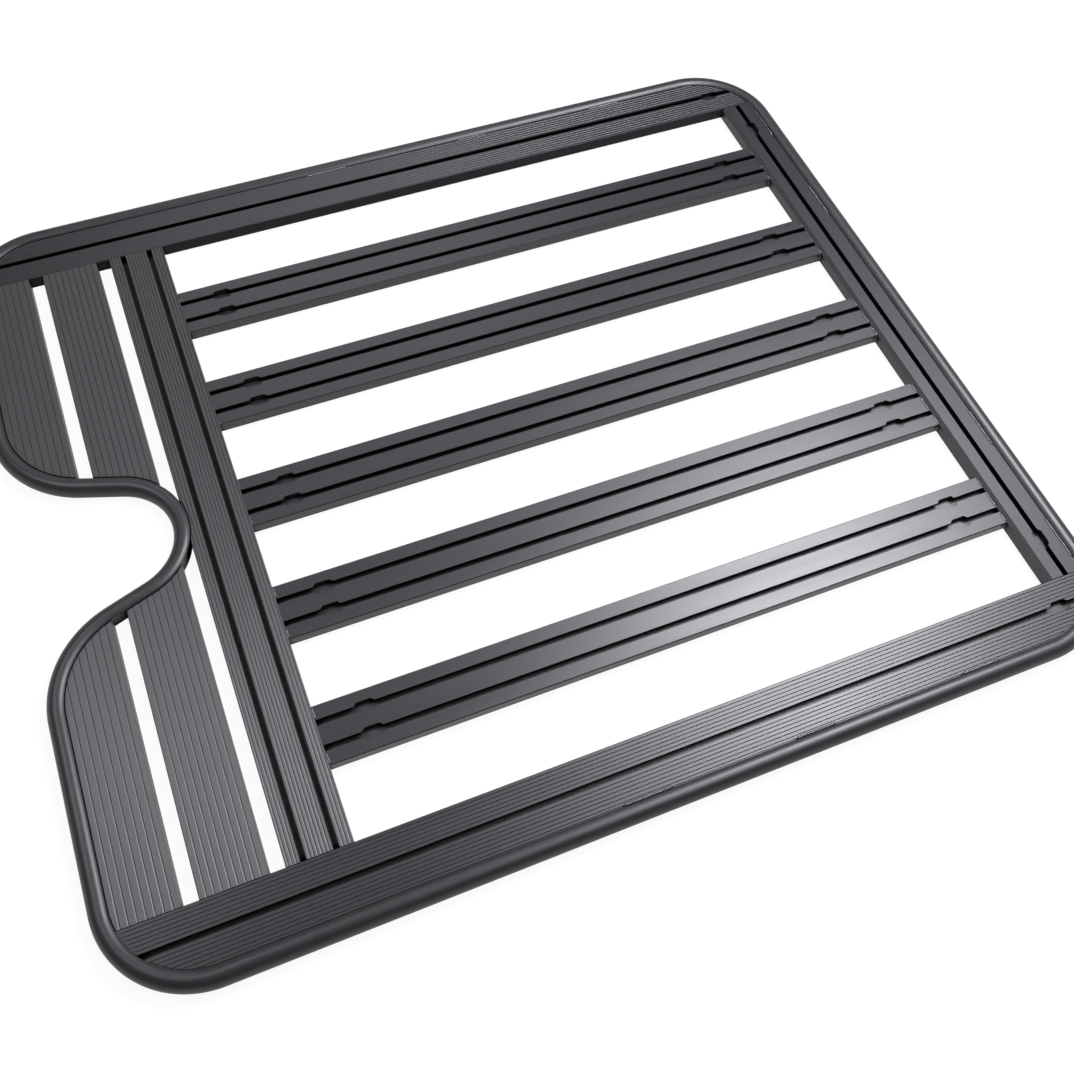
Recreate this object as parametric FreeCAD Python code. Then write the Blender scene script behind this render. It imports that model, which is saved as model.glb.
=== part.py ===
import FreeCAD, Part
import math
import os

# Flat platform roof rack. Millimetres, Z up, X runs along the slats to the front, Y to the left.
# The origin is under the middle of the rack, at the level of the frame tube's lowest line.

# Overall size of the frame, measured over the tube
LENGTH = 1409.0
WIDTH = 1235.0

# Frame tube: round, with a flat inner wall where the planks butt against it
TUBE_D = 28.0
CORNER_R = 117.0

# Notch: two arms that lean together, from wide bends at the mouth to one round nose
NOTCH_DEPTH = 210.9
NOTCH_SLOPE = 18.5
NOTCH_R = 94.0
MOUTH_R = 133.0
NOTCH_BITE = 5.2

# Heights: planks midway up the tube, slats with tops a little lower
PLANK_H = 20.0
SLAT_STEP = 3.0

# Layout across: slats on an even pitch between the two side planks
SIDE_W = 78.7
SLAT_COUNT = 5
SLAT_W = 84.0
SLAT_END_GAP = 103.0

# Layout along: front cross-member, rear cross-member at the notch, then two planks each side of it
FRONT_W = 55.7
REAR_W = 85.0
INNER_GAP = 20.0
INNER_W = 84.0
OUTER_GAP = 21.0

# Accessory channel: slot with lips over a wider cavity
SLOT_W = 8.4
SLOT_LIP = 2.6
CAVITY_W = 17.0
CAVITY_H = 7.0
SLAT_SLOT_GAP = 36.0
REAR_SLOT_GAP = 41.0

# Drop-in pockets that open a channel for a nut or a bolt head
POCKET_L = 32.0
POCKET_CUT = 6.0
POCKET_INSET = 65.0
FRONT_POCKET_INSET = 63.0
SIDE_POCKET_INSET = 9.0

# Fine grooves along the planks: how many, and how far the outermost lie from a plank's edge
GROOVE_W = 2.6
GROOVE_D = 0.62
SIDE_GROOVE_W = 1.2
SIDE_GROOVE_D = 0.4
PLANK_GROOVE_COUNT = 8
PLANK_GROOVE_INSET = 9.0
SIDE_GROOVE_COUNT = 6
SIDE_GROOVE_INSET = 5.0
REAR_MID_GROOVE_COUNT = 6
REAR_EDGE_GROOVE_COUNT = 3
REAR_GROOVE_INSET = 3.5

# Rebate in the planks' tops along the tube
SEAM_W = 1.8
SEAM_D = 1.8

# Small edge breaks, and the wider bevel along the front cross-member's inner edge
EDGE = 1.2
FRONT_BEVEL_X = 6.0
FRONT_BEVEL_Z = 4.0

# Derived positions
TUBE_R = TUBE_D / 2
WALL_IN = math.sqrt(TUBE_R ** 2 - (PLANK_H / 2) ** 2)
TOP = TUBE_R + PLANK_H / 2
SLAT_H = PLANK_H - SLAT_STEP
SLAT_TOP = TOP - SLAT_STEP
PATH_X = LENGTH / 2 - TUBE_R
PATH_Y = WIDTH / 2 - TUBE_R
WALL_X = PATH_X - WALL_IN
WALL_Y = PATH_Y - WALL_IN
FRONT_X = WALL_X - FRONT_W
NOSE_X = -PATH_X + NOTCH_DEPTH
REAR_BACK_X = NOSE_X + WALL_IN - NOTCH_BITE
REAR_X = REAR_BACK_X + REAR_W
INNER_X = REAR_BACK_X - INNER_GAP
OUTER_X = INNER_X - INNER_W - OUTER_GAP
OPEN_HALF = WALL_Y - SIDE_W
SLAT_END_Y = OPEN_HALF - SLAT_END_GAP - SLAT_W / 2
POCKET_W = CAVITY_W


def vec(x, y, z=0.0):
    return FreeCAD.Vector(x, y, z)


def rounded_path():
    """Named lines and arcs of the tube's middle line, anticlockwise from the front rail."""
    slope = math.radians(NOTCH_SLOPE)
    apex = NOSE_X + NOTCH_R * (1 / math.sin(slope) - 1)
    mouth = (apex + PATH_X) * math.tan(slope)
    corners = [
        ("front_rail", "front_left_corner", PATH_X, PATH_Y, CORNER_R),
        ("left_rail", "rear_left_corner", -PATH_X, PATH_Y, CORNER_R),
        ("rear_left_rail", "notch_mouth_left", -PATH_X, mouth, MOUTH_R),
        ("notch_loop", "notch_loop", apex, 0.0, NOTCH_R),
        ("notch_loop", "notch_mouth_right", -PATH_X, -mouth, MOUTH_R),
        ("rear_right_rail", "rear_right_corner", -PATH_X, -PATH_Y, CORNER_R),
        ("right_rail", "front_right_corner", PATH_X, -PATH_Y, CORNER_R),
    ]
    bends = []
    for i, (run_name, bend_name, x, y, radius) in enumerate(corners):
        before = corners[i - 1]
        after = corners[(i + 1) % len(corners)]
        a = math.atan2(y - before[3], x - before[2])
        b = math.atan2(after[3] - y, after[2] - x)
        turn = math.atan2(math.sin(b - a), math.cos(b - a))
        tangent = radius * math.tan(abs(turn) / 2)
        start = (x - tangent * math.cos(a), y - tangent * math.sin(a))
        end = (x + tangent * math.cos(b), y + tangent * math.sin(b))
        side = math.copysign(radius, turn)
        centre = (start[0] - side * math.sin(a), start[1] + side * math.cos(a))
        bends.append((start, end, centre, a, turn))
    segments = []
    for i, (start, end, centre, angle, turn) in enumerate(bends):
        run_name, bend_name = corners[i][:2]
        segments.append((run_name, "line", bends[i - 1][1], start, angle))
        segments.append((bend_name, "arc", start, centre, angle, turn))
    return segments


def outward(angle):
    return vec(math.sin(angle), -math.cos(angle))


def tube_section(point, angle):
    """Tube section at a point of the middle line; the tube runs along the given angle."""
    out = outward(angle)
    base = vec(point[0], point[1])

    def at(u, z):
        return base + out * u + vec(0, 0, z)

    upper = at(-WALL_IN, TOP)
    lower = at(-WALL_IN, TOP - PLANK_H)
    edges = [Part.LineSegment(lower, upper).toShape(), Part.Arc(upper, at(TUBE_R, TUBE_R), lower).toShape()]
    return Part.Face(Part.Wire(edges))


def tube_piece(segment):
    if segment[1] == "line":
        start, end, angle = segment[2:]
        return tube_section(start, angle).extrude(vec(end[0] - start[0], end[1] - start[1]))
    start, centre, angle, turn = segment[2:]
    return tube_section(start, angle).revolve(vec(*centre), vec(0, 0, 1), math.degrees(turn))


def joined(shapes):
    body = shapes[0]
    for shape in shapes[1:]:
        body = body.fuse(shape)
    return body.removeSplitter().Solids[0]


def inner_prism(segments, margin, z0, z1):
    """Everything inside the tube's inner wall, a margin away from it, between two heights."""
    inset = WALL_IN + margin
    edges = []
    for segment in segments:
        if segment[1] == "line":
            start, end, angle = segment[2:]
            shift = outward(angle) * -inset
            edges.append(Part.LineSegment(vec(*start) + shift, vec(*end) + shift).toShape())
        else:
            start, centre, angle, turn = segment[2:]
            first = vec(*start) + outward(angle) * -inset
            mid = vec(*centre)
            points = []
            for part in (0.0, 0.5, 1.0):
                spin = FreeCAD.Rotation(vec(0, 0, 1), math.degrees(turn) * part)
                points.append(mid + spin.multVec(first - mid))
            edges.append(Part.Arc(*points).toShape())
    outline = Part.Wire(Part.__sortEdges__(edges))
    face = Part.Face(outline)
    face.translate(vec(0, 0, z0))
    return face.extrude(vec(0, 0, z1 - z0))


def plank_profile(width, height, slots, grooves, left=(EDGE, EDGE), groove=(GROOVE_W, GROOVE_D)):
    """Section points across a plank from its middle: slots and grooves cut into the top."""
    half = width / 2
    cuts = [(c, "slot") for c in slots] + [(c, "groove") for c in grooves]
    points = [(-half, 0), (-half, height - left[1]), (-half + left[0], height)]
    for c, kind in sorted(cuts):
        if kind == "groove":
            points += [(c - groove[0] / 2, height), (c, height - groove[1]), (c + groove[0] / 2, height)]
        else:
            s, w = SLOT_W / 2, CAVITY_W / 2
            lip = height - SLOT_LIP
            deep = lip - CAVITY_H
            points += [(c - s, height), (c - s, lip), (c - w, lip), (c - w, deep),
                       (c + w, deep), (c + w, lip), (c + s, lip), (c + s, height)]
    points += [(half - EDGE, height), (half, height - EDGE), (half, 0)]
    return points


def plank_along_x(points, middle_y, top, x0, x1):
    height = max(z for _, z in points)
    corners = [vec(x0, middle_y + w, top - height + z) for w, z in points]
    face = Part.Face(Part.makePolygon(corners + corners[:1]))
    return face.extrude(vec(x1 - x0, 0))


def plank_along_y(points, middle_x, top, y0, y1):
    height = max(z for _, z in points)
    corners = [vec(middle_x + w, y0, top - height + z) for w, z in points]
    face = Part.Face(Part.makePolygon(corners + corners[:1]))
    return face.extrude(vec(0, y1 - y0))


def pocket(x, y, top, along_x=True):
    """Opening with clipped corners through the lips of a channel."""
    a, b, c = POCKET_L / 2, POCKET_W / 2, POCKET_CUT
    outline = [(-a, -b + c), (-a + c, -b), (a - c, -b), (a, -b + c),
               (a, b - c), (a - c, b), (-a + c, b), (-a, b - c)]
    if not along_x:
        outline = [(w, u) for u, w in outline]
    corners = [vec(x + u, y + w, top - SLOT_LIP) for u, w in outline]
    face = Part.Face(Part.makePolygon(corners + corners[:1]))
    return face.extrude(vec(0, 0, SLOT_LIP))


def even(first, last, count):
    step = (last - first) / (count - 1)
    return [first + step * i for i in range(count)]


def slat(y):
    slots = [-SLAT_SLOT_GAP / 2, SLAT_SLOT_GAP / 2]
    body = plank_along_x(plank_profile(SLAT_W, SLAT_H, slots, []), y, SLAT_TOP, REAR_X, FRONT_X)
    for slot in slots:
        for x in (REAR_X + POCKET_INSET, FRONT_X - POCKET_INSET):
            body = body.cut(pocket(x, y + slot, SLAT_TOP))
    return body


def side_plank(side, inside):
    width = SIDE_W
    reach = width / 2 - SIDE_GROOVE_INSET
    near = CAVITY_W / 2
    grooves = even(-reach, -near, SIDE_GROOVE_COUNT) + even(near, reach, SIDE_GROOVE_COUNT)
    middle = side * (OPEN_HALF + width / 2)
    profile = plank_profile(width, PLANK_H, [0.0], grooves, groove=(SIDE_GROOVE_W, SIDE_GROOVE_D))
    body = plank_along_x(profile, middle, TOP, -PATH_X, PATH_X)
    body = body.cut(pocket(FRONT_X - SIDE_POCKET_INSET, middle, TOP))
    return body.common(inside)


def rear_plank(side, x0, x1, inside):
    width = x1 - x0
    reach = width / 2 - PLANK_GROOVE_INSET
    grooves = even(-reach, reach, PLANK_GROOVE_COUNT)
    y0, y1 = (0.0, OPEN_HALF) if side > 0 else (-OPEN_HALF, 0.0)
    body = plank_along_y(plank_profile(width, PLANK_H, [], grooves), (x0 + x1) / 2, TOP, y0, y1)
    return body.common(inside)


def rear_cross_member(inside):
    slots = [-REAR_SLOT_GAP / 2, REAR_SLOT_GAP / 2]
    inner = slots[1] - CAVITY_W / 2
    outer = slots[1] + CAVITY_W / 2
    reach = REAR_W / 2 - REAR_GROOVE_INSET
    grooves = even(-inner, inner, REAR_MID_GROOVE_COUNT)
    grooves += even(-reach, -outer, REAR_EDGE_GROOVE_COUNT) + even(outer, reach, REAR_EDGE_GROOVE_COUNT)
    profile = plank_profile(REAR_W, PLANK_H, slots, grooves)
    body = plank_along_y(profile, REAR_X - REAR_W / 2, TOP, -OPEN_HALF, OPEN_HALF)
    return body.common(inside)


def front_cross_member():
    bevel = (FRONT_BEVEL_X, FRONT_BEVEL_Z)
    profile = plank_profile(FRONT_W, PLANK_H, [0.0], [], left=bevel)
    x = FRONT_X + FRONT_W / 2
    body = plank_along_y(profile, x, TOP, -OPEN_HALF, OPEN_HALF)
    for y in (-OPEN_HALF + FRONT_POCKET_INSET, OPEN_HALF - FRONT_POCKET_INSET):
        body = body.cut(pocket(x, y, TOP, along_x=False))
    return body


def save(name, shape):
    solid = shape.Solids[0]
    solid.exportStep("parts/%s.step" % name)


os.makedirs("parts", exist_ok=True)

path = rounded_path()
tubes = {}
for segment in path:
    tubes.setdefault(segment[0], []).append(tube_piece(segment))
for name, pieces in tubes.items():
    save(name, joined(pieces) if len(pieces) > 1 else pieces[0])

# Room inside the tube, with the rebate along its upper edge left out
inside = inner_prism(path, 0.0, 0.0, TOP - SEAM_D)
inside = inside.fuse(inner_prism(path, SEAM_W, TOP - SEAM_D, TOP))
for number, y in enumerate(even(SLAT_END_Y, -SLAT_END_Y, SLAT_COUNT), start=1):
    save("slat_%d" % number, slat(y))
for hand, side in (("left", 1), ("right", -1)):
    save("side_plank_" + hand, side_plank(side, inside))
    save("rear_inner_plank_" + hand, rear_plank(side, INNER_X - INNER_W, INNER_X, inside))
    save("rear_outer_plank_" + hand, rear_plank(side, -PATH_X, OUTER_X, inside))
save("rear_cross_member", rear_cross_member(inside))
save("front_cross_member", front_cross_member())
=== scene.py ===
import math

import bpy
from mathutils import Matrix, Vector


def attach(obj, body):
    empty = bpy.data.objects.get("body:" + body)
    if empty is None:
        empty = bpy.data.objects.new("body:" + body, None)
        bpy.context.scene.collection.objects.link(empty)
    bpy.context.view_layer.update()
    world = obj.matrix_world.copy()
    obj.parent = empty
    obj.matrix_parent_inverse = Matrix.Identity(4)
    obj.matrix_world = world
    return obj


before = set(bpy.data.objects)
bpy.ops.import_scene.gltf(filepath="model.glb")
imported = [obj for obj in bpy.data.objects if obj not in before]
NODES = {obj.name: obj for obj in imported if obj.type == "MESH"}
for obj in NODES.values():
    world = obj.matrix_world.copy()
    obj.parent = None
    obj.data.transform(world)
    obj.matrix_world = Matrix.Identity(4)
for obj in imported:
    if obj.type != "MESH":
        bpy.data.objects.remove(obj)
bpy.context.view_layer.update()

UP = Vector((0.0, 0.0, 1.0))

# Camera: place, aim point on the deck in metres, and roll in degrees
CAMERA_AT = Vector((-0.3819, -0.9197, 1.4145))
CAMERA_TARGET = Vector((-0.02438, -0.19801, 0.024))
CAMERA_ROLL = 5.1405
CAMERA_LENS = 38.381
SENSOR = 36.0

# Powder coat: its colours, the colour painted into crevices as shade, the stretch of its streaks along an
# extrusion, and its fine peel
COAT_DARK = (0.0085, 0.0085, 0.0100, 1.0)
COAT_LIGHT = (0.0150, 0.0150, 0.0175, 1.0)
# Colour painted into crevices and slots as shade
PAINTED_SHADE_COLOUR = (0.001, 0.001, 0.001, 1.0)
ALONG_X = (0.05, 1.0, 1.0)
ALONG_Y = (1.0, 0.05, 1.0)
ALONG_TUBE = (0.6, 0.6, 0.6)
EVEN = (1.0, 1.0, 1.0)
STREAK_SCALE = 60.0
STREAK_DETAIL = 6.0
STREAK_ROUGHNESS = 0.6
SHINE_SPREAD = 0.05
PEEL_SCALE = 1400.0
PEEL_DETAIL = 3.0
PEEL_STRENGTH = 0.07
PEEL_DEPTH = 0.0001

# Spread of the gloss across the rear planks' fine lines
LINE_SPREAD = 0.5
ACROSS_X = (1.0, 0.0, 0.0)

# Painted shade in crevices and slots: reach in metres, and how open a place is when it counts as closed
# (fully shaded) and as open (unshaded)
PLANK_PAINTED_SHADE = (0.012, 0.4, 0.75)
RIB_PAINTED_SHADE = (0.012, 0.5, 1.0)
TUBE_PAINTED_SHADE = (0.02, 0.55, 0.9)
PAINTED_SHADE_SAMPLES = 4

# Heights between which the lips of the channels lie, where no shade is painted
SLAT_LIPS = (0.0185, 0.0211)
PLANK_LIPS = (0.0215, 0.0233)

# Painted shade on upright faces, which keep less gloss: slope where a face counts as upright and as flat,
# and the part left
UPRIGHT_SLOPE = 0.2
FLAT_SLOPE = 0.6
UPRIGHT_GLOSS = 0.12

# Edges
SMOOTH_ANGLE = 0.6
EDGE_ROUND = 0.00035
EDGE_SEGMENTS = 2
FLAT_ANGLE = 0.005

# Weld beads: ripple length, steps in a ripple, sides, depth of the ripple, thickness at the ends
WELD_RIPPLE = 0.0024
RIPPLE_STEPS = 6
WELD_SIDES = 12
RIPPLE_DEPTH = 0.14
END_TAPER = 0.25

# Bead radii, and how deep beads sit under the tops of the slats and planks
FRONT_WELD = 0.0016
REAR_WELD = 0.0014
SIDE_WELD = 0.0024
TUBE_WELD = 0.0022
SLAT_WELD_DEPTH = 0.0002
TUBE_WELD_DEPTH = 0.0006
FRONT_WELD_BOW = Vector((-0.0012, 0.0, 0.0))
SIDE_WELD_MARGIN = 0.003

# Where beads run: across a slat from its middle, and along the frame
SLAT_COUNT = 5
SLAT_WELDS = [(-0.0405, -0.0235), (-0.0125, 0.0125), (0.0235, 0.0405)]
LEFT_WELDS = [(-0.128, -0.058), (0.142, 0.197), (0.392, 0.452)]
RIGHT_WELDS = [(-0.068, 0.002), (0.177, 0.237), (0.430, 0.490)]
FRONT_WELDS = [(-0.495, -0.425), (-0.290, -0.220), (0.220, 0.290), (0.425, 0.495)]

# Studio: floor, lamps, and the room light and white background by height above the horizon
FLOOR_SIZE = 40.0
FLOOR_DROP = 0.0003
FLOOR_COLOUR = (0.9, 0.9, 0.9, 1.0)
FLOOR_GLOW = 0.93
ROOM_LOW = (0.1, 0.12)
ROOM_HIGH = (0.6, 0.2)
ROOM_COLOUR = (0.8, 0.8, 0.8, 1.0)
WHITE_LOW = (0.16, 1.0)
WHITE_HIGH = (0.28, 0.0)
BACKGROUND_COLOUR = (1.0, 1.0, 1.0, 1.0)
LAMP_COLOUR = (0.95, 0.945, 1.0)


def node_box(name):
    """Lowest and highest corner of a CAD node."""
    node = NODES[name]
    points = [node.matrix_world @ Vector(corner) for corner in node.bound_box]
    return [Vector([pick(p[axis] for p in points) for axis in range(3)]) for pick in (min, max)]


def new_material(name):
    """An empty node material with its nodes and links."""
    material = bpy.data.materials.new(name)
    material.use_nodes = True
    material.node_tree.nodes.clear()
    return material, material.node_tree.nodes, material.node_tree.links


def math_node(nodes, links, operation, first, second):
    """Result of an operation on a socket and a second socket or number."""
    node = nodes.new("ShaderNodeMath")
    node.operation = operation
    links.new(first, node.inputs[0])
    if isinstance(second, float):
        node.inputs[1].default_value = second
    else:
        links.new(second, node.inputs[1])
    return node.outputs[0]


def streak_noise(nodes, links, place, stretch):
    """Faint streaks along an extrusion."""
    scale = nodes.new("ShaderNodeMapping")
    scale.inputs["Scale"].default_value = stretch
    links.new(place.outputs["Object"], scale.inputs["Vector"])
    streaks = nodes.new("ShaderNodeTexNoise")
    streaks.inputs["Scale"].default_value = STREAK_SCALE
    streaks.inputs["Detail"].default_value = STREAK_DETAIL
    streaks.inputs["Roughness"].default_value = STREAK_ROUGHNESS
    links.new(scale.outputs["Vector"], streaks.inputs["Vector"])
    return streaks.outputs["Fac"]


def mixed_colour(nodes, links, factor):
    """A colour mix led by the factor."""
    mix = nodes.new("ShaderNodeMix")
    mix.data_type = "RGBA"
    links.new(factor, mix.inputs[0])
    return mix


def painted_shade_mask(nodes, links, painted_shade):
    """Mask of painted shade from ambient occlusion: 0 where the surface is closed in, as in a slot, and 1
    where it is open.
    """
    reach, closed, opened = painted_shade
    around = nodes.new("ShaderNodeAmbientOcclusion")
    around.inputs["Distance"].default_value = reach
    around.samples = PAINTED_SHADE_SAMPLES
    clear = nodes.new("ShaderNodeMapRange")
    clear.inputs["From Min"].default_value = closed
    clear.inputs["From Max"].default_value = opened
    links.new(around.outputs["AO"], clear.inputs["Value"])
    return clear.outputs["Result"]


def open_between(nodes, links, heights, level):
    """1 between two heights, which keeps painted shade off there, and the level elsewhere."""
    low, high = heights
    surface = nodes.new("ShaderNodeNewGeometry")
    parts = nodes.new("ShaderNodeSeparateXYZ")
    links.new(surface.outputs["Position"], parts.inputs[0])
    inside = nodes.new("ShaderNodeMath")
    inside.operation = "COMPARE"
    inside.inputs[1].default_value = (low + high) / 2
    inside.inputs[2].default_value = (high - low) / 2
    links.new(parts.outputs["Z"], inside.inputs[0])
    return math_node(nodes, links, "MAXIMUM", inside.outputs[0], level)


def on_flats(nodes, links, level):
    """The level on faces that lie flat, and a small part of it on upright ones, as painted shade on
    upright faces.
    """
    surface = nodes.new("ShaderNodeNewGeometry")
    parts = nodes.new("ShaderNodeSeparateXYZ")
    links.new(surface.outputs["True Normal"], parts.inputs[0])
    slope = nodes.new("ShaderNodeMath")
    slope.operation = "ABSOLUTE"
    links.new(parts.outputs["Z"], slope.inputs[0])
    flat = nodes.new("ShaderNodeMapRange")
    flat.inputs["From Min"].default_value = UPRIGHT_SLOPE
    flat.inputs["From Max"].default_value = FLAT_SLOPE
    flat.inputs["To Min"].default_value = UPRIGHT_GLOSS
    links.new(slope.outputs[0], flat.inputs["Value"])
    return math_node(nodes, links, "MULTIPLY", level, flat.outputs["Result"])


def add_peel(nodes, links, place, shader):
    """The fine uneven surface of powder coat."""
    peel = nodes.new("ShaderNodeTexNoise")
    peel.inputs["Scale"].default_value = PEEL_SCALE
    peel.inputs["Detail"].default_value = PEEL_DETAIL
    links.new(place.outputs["Object"], peel.inputs["Vector"])
    bump = nodes.new("ShaderNodeBump")
    bump.inputs["Strength"].default_value = PEEL_STRENGTH
    bump.inputs["Distance"].default_value = PEEL_DEPTH
    links.new(peel.outputs["Fac"], bump.inputs["Height"])
    links.new(bump.outputs["Normal"], shader.inputs["Normal"])


def spread_gloss(nodes, links, shader, across):
    """Spreads the gloss in one direction, as the fine lines of an extrusion do."""
    tangent = nodes.new("ShaderNodeCombineXYZ")
    for socket, value in zip(tangent.inputs, across):
        socket.default_value = value
    shader.inputs["Anisotropic"].default_value = LINE_SPREAD
    links.new(tangent.outputs[0], shader.inputs["Tangent"])


def coat_material(name, stretch, roughness, gloss, painted_shade=PLANK_PAINTED_SHADE,
                  lips=None, across=None, painted_shade_on_sides=False):
    """Satin black powder coat over extruded metal, with shade painted where it is closed in: darker colour
    and less gloss there.
    """
    material, nodes, links = new_material(name)
    out = nodes.new("ShaderNodeOutputMaterial")
    shader = nodes.new("ShaderNodeBsdfPrincipled")
    links.new(shader.outputs["BSDF"], out.inputs["Surface"])
    place = nodes.new("ShaderNodeTexCoord")
    streaks = streak_noise(nodes, links, place, stretch)

    shine = nodes.new("ShaderNodeMapRange")
    shine.inputs["To Min"].default_value = roughness - SHINE_SPREAD
    shine.inputs["To Max"].default_value = roughness + SHINE_SPREAD
    links.new(streaks, shine.inputs["Value"])
    links.new(shine.outputs["Result"], shader.inputs["Roughness"])

    # Painted shade: ambient occlusion darkens the colour and cuts the gloss in crevices and slots
    clear = painted_shade_mask(nodes, links, painted_shade)
    if lips:
        clear = open_between(nodes, links, lips, clear)
    colour = mixed_colour(nodes, links, streaks)
    colour.inputs[6].default_value = COAT_DARK
    colour.inputs[7].default_value = COAT_LIGHT
    shade = mixed_colour(nodes, links, clear)
    shade.inputs[6].default_value = PAINTED_SHADE_COLOUR
    links.new(colour.outputs[2], shade.inputs[7])
    links.new(shade.outputs[2], shader.inputs["Base Color"])

    # Gloss cut by the painted shade in crevices
    level = math_node(nodes, links, "MULTIPLY", clear, gloss)
    # Painted shade: upright faces keep only a small part of the gloss
    if painted_shade_on_sides:
        level = on_flats(nodes, links, level)
    links.new(level, shader.inputs["Specular IOR Level"])
    if across:
        spread_gloss(nodes, links, shader, across)
    add_peel(nodes, links, place, shader)
    return material


def round_edges(node):
    """Breaks the sharp edges of a node as a coat of paint does, without moving it."""
    node.data.set_sharp_from_angle(angle=SMOOTH_ANGLE)
    clean = node.modifiers.new("flat_faces", "DECIMATE")
    clean.decimate_type = "DISSOLVE"
    clean.angle_limit = FLAT_ANGLE
    bevel = node.modifiers.new("edge_break", "BEVEL")
    bevel.width = EDGE_ROUND
    bevel.segments = EDGE_SEGMENTS
    bevel.limit_method = "ANGLE"
    bevel.angle_limit = SMOOTH_ANGLE
    bevel.harden_normals = False
    normals = node.modifiers.new("even_shading", "WEIGHTED_NORMAL")
    normals.keep_sharp = True


def dress_nodes():
    """Gives each CAD node its coat and its rounded edges."""
    slats = coat_material("coat_along_x", ALONG_X, 0.39, 0.52, lips=SLAT_LIPS)
    sides = coat_material("coat_side_planks", ALONG_X, 0.39, 0.51, lips=PLANK_LIPS, painted_shade_on_sides=True)
    rear = coat_material("coat_along_y", ALONG_Y, 0.50, 0.95, painted_shade=RIB_PAINTED_SHADE, across=ACROSS_X)
    front = coat_material("coat_front", ALONG_Y, 0.42, 0.45)
    tube = coat_material("coat_tube", ALONG_TUBE, 0.42, 0.5, painted_shade=TUBE_PAINTED_SHADE)
    coats = {"slat_": slats, "side_plank": sides, "front_cross": front,
             "rear_inner": rear, "rear_outer": rear, "rear_cross": rear}
    for name, node in NODES.items():
        matches = [coat for start, coat in coats.items() if name.startswith(start)]
        node.data.materials.clear()
        node.data.materials.append(matches[0] if matches else tube)
        round_edges(node)


def even_route(route, step):
    """Points a step apart along straight stretches from point to point."""
    points = []
    for start, end in zip(route, route[1:]):
        count = max(1, round((end - start).length / step))
        points += [start.lerp(end, i / count) for i in range(count)]
    return points + [route[-1]]


def bead_rings(points, step, radius):
    """Rings of points round a bead: overlapping ripples that taper off at both ends."""
    rings = []
    last = len(points) - 1
    for i, point in enumerate(points):
        along = (points[min(i + 1, last)] - points[max(i - 1, 0)]).normalized()
        side = along.cross(UP)
        if side.length < 0.1:
            side = Vector((1.0, 0.0, 0.0))
        side.normalize()
        rise = side.cross(along)
        ripple = 1 - RIPPLE_DEPTH + RIPPLE_DEPTH * abs(math.sin(math.pi * i * step / WELD_RIPPLE))
        taper = min(1.0, END_TAPER + min(i, last - i) * step / (2 * radius))
        reach = radius * ripple * taper
        turns = [2 * math.pi * k / WELD_SIDES for k in range(WELD_SIDES)]
        rings.append([point + side * (reach * math.cos(t)) + rise * (reach * math.sin(t)) for t in turns])
    return rings


def weld(name, route, radius, material):
    """A closed bead of weld along the route."""
    step = WELD_RIPPLE / RIPPLE_STEPS
    rings = bead_rings(even_route(route, step), step, radius)
    last = (len(rings) - 1) * WELD_SIDES
    faces = []
    for a in range(0, last, WELD_SIDES):
        b = a + WELD_SIDES
        for k in range(WELD_SIDES):
            n = (k + 1) % WELD_SIDES
            faces.append((a + k, b + k, b + n, a + n))
    faces.append(tuple(range(WELD_SIDES)))
    faces.append(tuple(last + k for k in reversed(range(WELD_SIDES))))
    mesh = bpy.data.meshes.new(name)
    mesh.from_pydata([point for ring in rings for point in ring], [], faces)
    mesh.shade_smooth()
    mesh.materials.append(material)
    bead = bpy.data.objects.new(name, mesh)
    bpy.context.scene.collection.objects.link(bead)
    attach(bead, "root")


def weld_slats(material):
    """Beads across both ends of each slat, beside its channels, and up its near side at the front."""
    for number in range(1, SLAT_COUNT + 1):
        low, high = node_box("slat_%d" % number)
        middle = (low.y + high.y) / 2
        z = high.z - SLAT_WELD_DEPTH
        x = high.x - FRONT_WELD / 2
        for k, (start, end) in enumerate(SLAT_WELDS, start=1):
            first = Vector((x, middle + start, z))
            last = Vector((x, middle + end, z))
            route = [first, (first + last) / 2 + FRONT_WELD_BOW, last]
            weld("weld_slat_%d_front_%d" % (number, k), route, FRONT_WELD, material)
        x = low.x + REAR_WELD / 2
        for k, (start, end) in enumerate((SLAT_WELDS[0], SLAT_WELDS[-1]), start=1):
            route = [Vector((x, middle + start, z)), Vector((x, middle + end, z))]
            weld("weld_slat_%d_rear_%d" % (number, k), route, REAR_WELD, material)
        x = high.x - SIDE_WELD / 2
        route = [Vector((x, low.y, low.z + SIDE_WELD_MARGIN)), Vector((x, low.y, z - SIDE_WELD_MARGIN))]
        weld("weld_slat_%d_side" % number, route, SIDE_WELD, material)


def weld_frame(material):
    """Short beads in the valley between the planks and the frame tube."""
    left_high = node_box("side_plank_left")[1]
    right_low = node_box("side_plank_right")[0]
    front_high = node_box("front_cross_member")[1]
    z = left_high.z - TUBE_WELD_DEPTH
    for hand, y, runs in (("left", left_high.y - TUBE_WELD / 2, LEFT_WELDS),
                          ("right", right_low.y + TUBE_WELD / 2, RIGHT_WELDS)):
        for k, (start, end) in enumerate(runs, start=1):
            route = [Vector((start, y, z)), Vector((end, y, z))]
            weld("weld_%s_%d" % (hand, k), route, TUBE_WELD, material)
    x = front_high.x - TUBE_WELD
    for k, (start, end) in enumerate(FRONT_WELDS, start=1):
        route = [Vector((x, start, z)), Vector((x, end, z))]
        weld("weld_front_%d" % k, route, TUBE_WELD, material)


def add_welds():
    """All beads of weld, in a glossier coat than the planks."""
    material = coat_material("coat_weld", EVEN, 0.26, 1.0)
    weld_slats(material)
    weld_frame(material)


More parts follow.
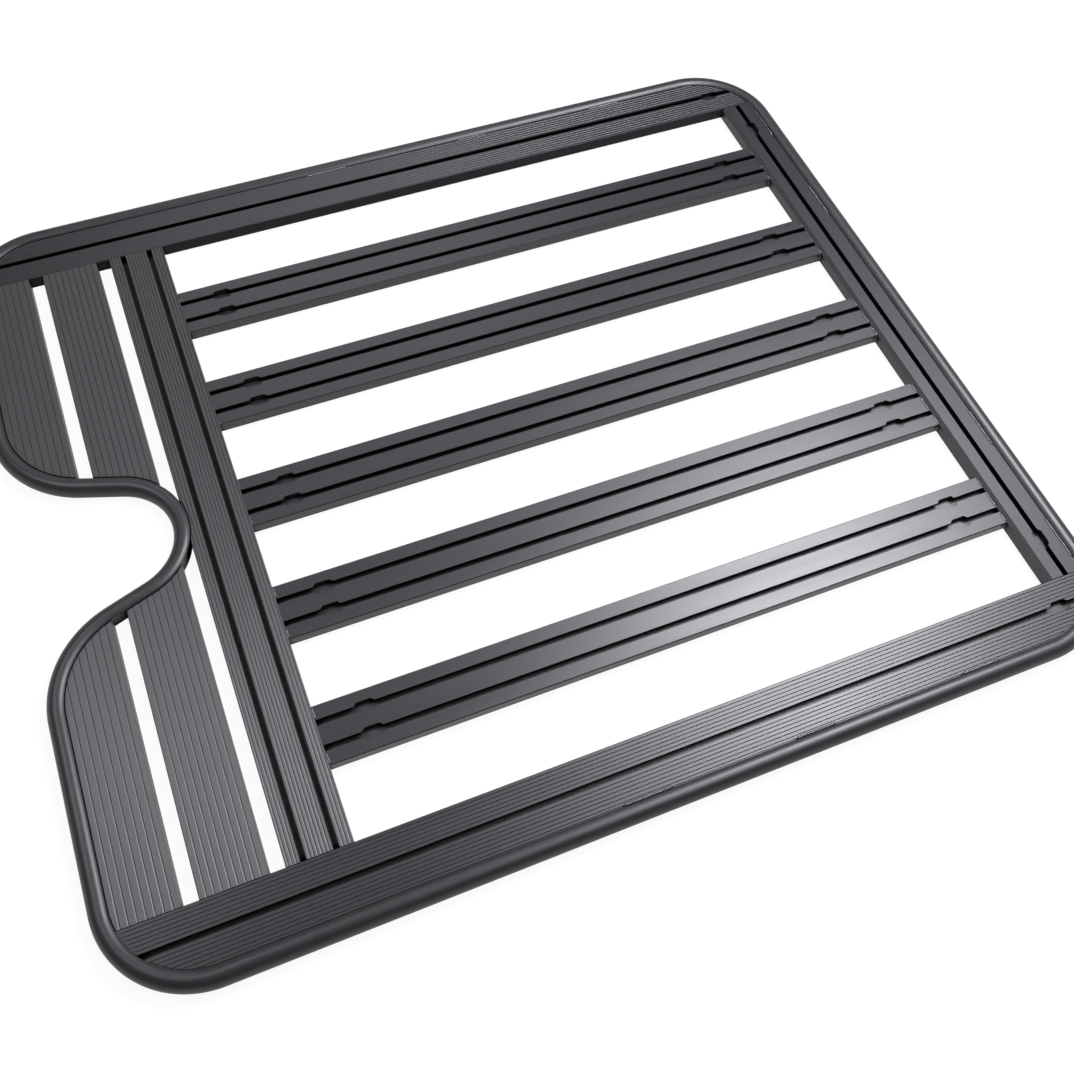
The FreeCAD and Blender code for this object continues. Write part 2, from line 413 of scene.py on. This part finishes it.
def seen_rays(nodes, links):
    """1 for rays that show the background itself: from the camera, off gloss and through glass."""
    path = nodes.new("ShaderNodeLightPath")
    seen = math_node(nodes, links, "MAXIMUM", path.outputs["Is Camera Ray"], path.outputs["Is Glossy Ray"])
    return math_node(nodes, links, "MAXIMUM", seen, path.outputs["Is Transmission Ray"])


def floor_material():
    """White floor that glows where it is seen, and keeps a soft shadow."""
    material, nodes, links = new_material("floor_white")
    out = nodes.new("ShaderNodeOutputMaterial")
    diffuse = nodes.new("ShaderNodeBsdfDiffuse")
    diffuse.inputs["Color"].default_value = FLOOR_COLOUR
    glow = nodes.new("ShaderNodeEmission")
    mix = nodes.new("ShaderNodeMixShader")
    links.new(math_node(nodes, links, "MULTIPLY", seen_rays(nodes, links), FLOOR_GLOW), mix.inputs[0])
    links.new(diffuse.outputs[0], mix.inputs[1])
    links.new(glow.outputs[0], mix.inputs[2])
    links.new(mix.outputs[0], out.inputs["Surface"])
    return material


def make_floor():
    """A wide floor just under the tube."""
    mesh = bpy.data.meshes.new("floor")
    half = FLOOR_SIZE / 2
    corners = [(-half, -half), (half, -half), (half, half), (-half, half)]
    mesh.from_pydata([(x, y, -FLOOR_DROP) for x, y in corners], [], [(0, 1, 2, 3)])
    mesh.materials.append(floor_material())
    floor = bpy.data.objects.new("floor", mesh)
    bpy.context.scene.collection.objects.link(floor)


def by_height(nodes, links, low, high):
    """A value that changes with the height above the horizon, between two pairs of height and value."""
    place = nodes.new("ShaderNodeTexCoord")
    parts = nodes.new("ShaderNodeSeparateXYZ")
    links.new(place.outputs["Generated"], parts.inputs[0])
    blend = nodes.new("ShaderNodeMapRange")
    blend.interpolation_type = "SMOOTHSTEP"
    for end, (height, value) in (("Min", low), ("Max", high)):
        blend.inputs["From " + end].default_value = height
        blend.inputs["To " + end].default_value = value
    links.new(parts.outputs["Z"], blend.inputs["Value"])
    return blend.outputs["Result"]


def make_world():
    """A dim room that is lighter overhead, with a white background round the horizon."""
    world = bpy.data.worlds.new("studio")
    bpy.context.scene.world = world
    world.use_nodes = True
    nodes, links = world.node_tree.nodes, world.node_tree.links
    nodes.clear()
    out = nodes.new("ShaderNodeOutputWorld")
    room = nodes.new("ShaderNodeBackground")
    room.inputs["Color"].default_value = ROOM_COLOUR
    links.new(by_height(nodes, links, ROOM_LOW, ROOM_HIGH), room.inputs["Strength"])
    white = nodes.new("ShaderNodeBackground")
    white.inputs["Color"].default_value = BACKGROUND_COLOUR
    white.inputs["Strength"].default_value = 1.0
    horizon = by_height(nodes, links, WHITE_LOW, WHITE_HIGH)
    mix = nodes.new("ShaderNodeMixShader")
    links.new(math_node(nodes, links, "MULTIPLY", seen_rays(nodes, links), horizon), mix.inputs[0])
    links.new(room.outputs[0], mix.inputs[1])
    links.new(white.outputs[0], mix.inputs[2])
    links.new(mix.outputs[0], out.inputs["Surface"])


def softbox(name, place, target, size, radiance):
    """A flat lamp of the given size and brightness, turned towards the target."""
    lamp = bpy.data.lights.new(name, "AREA")
    lamp.shape = "RECTANGLE"
    lamp.size, lamp.size_y = size
    lamp.energy = radiance * size[0] * size[1] * math.pi
    lamp.color = LAMP_COLOUR
    holder = bpy.data.objects.new(name, lamp)
    holder.location = place
    holder.rotation_mode = "QUATERNION"
    holder.rotation_quaternion = (Vector(target) - Vector(place)).to_track_quat("-Z", "Y")
    bpy.context.scene.collection.objects.link(holder)


def make_lamps():
    """A strong key over the front, a wide lamp beyond the left side, and two softer ones."""
    softbox("key", (1.2, 0.25, 2.0), (0.25, -0.4, 0.0), (0.8, 0.8), 42.0)
    softbox("back", (0.3, 2.6, 2.4), (0.2, 0.3, 0.0), (1.9, 1.4), 2.4)
    softbox("left", (-1.25, 0.5, 2.0), (-0.6, -0.2, 0.0), (0.6, 0.7), 11.0)
    softbox("front", (0.85, -0.65, 2.4), (0.1, -0.3, 0.0), (1.0, 0.8), 10.0)


def make_camera():
    """The photograph's camera."""
    data = bpy.data.cameras.new("camera")
    data.lens = CAMERA_LENS
    data.sensor_width = SENSOR
    data.sensor_fit = "HORIZONTAL"
    camera = bpy.data.objects.new("camera", data)
    aim = (CAMERA_TARGET - CAMERA_AT).to_track_quat("-Z", "Y").to_matrix().to_4x4()
    roll = Matrix.Rotation(math.radians(CAMERA_ROLL), 4, "Z")
    camera.matrix_world = Matrix.Translation(CAMERA_AT) @ aim @ roll
    bpy.context.scene.collection.objects.link(camera)
    bpy.context.scene.camera = camera


bpy.context.scene.view_settings.view_transform = "Standard"
dress_nodes()
add_welds()
make_floor()
make_world()
make_lamps()
make_camera()
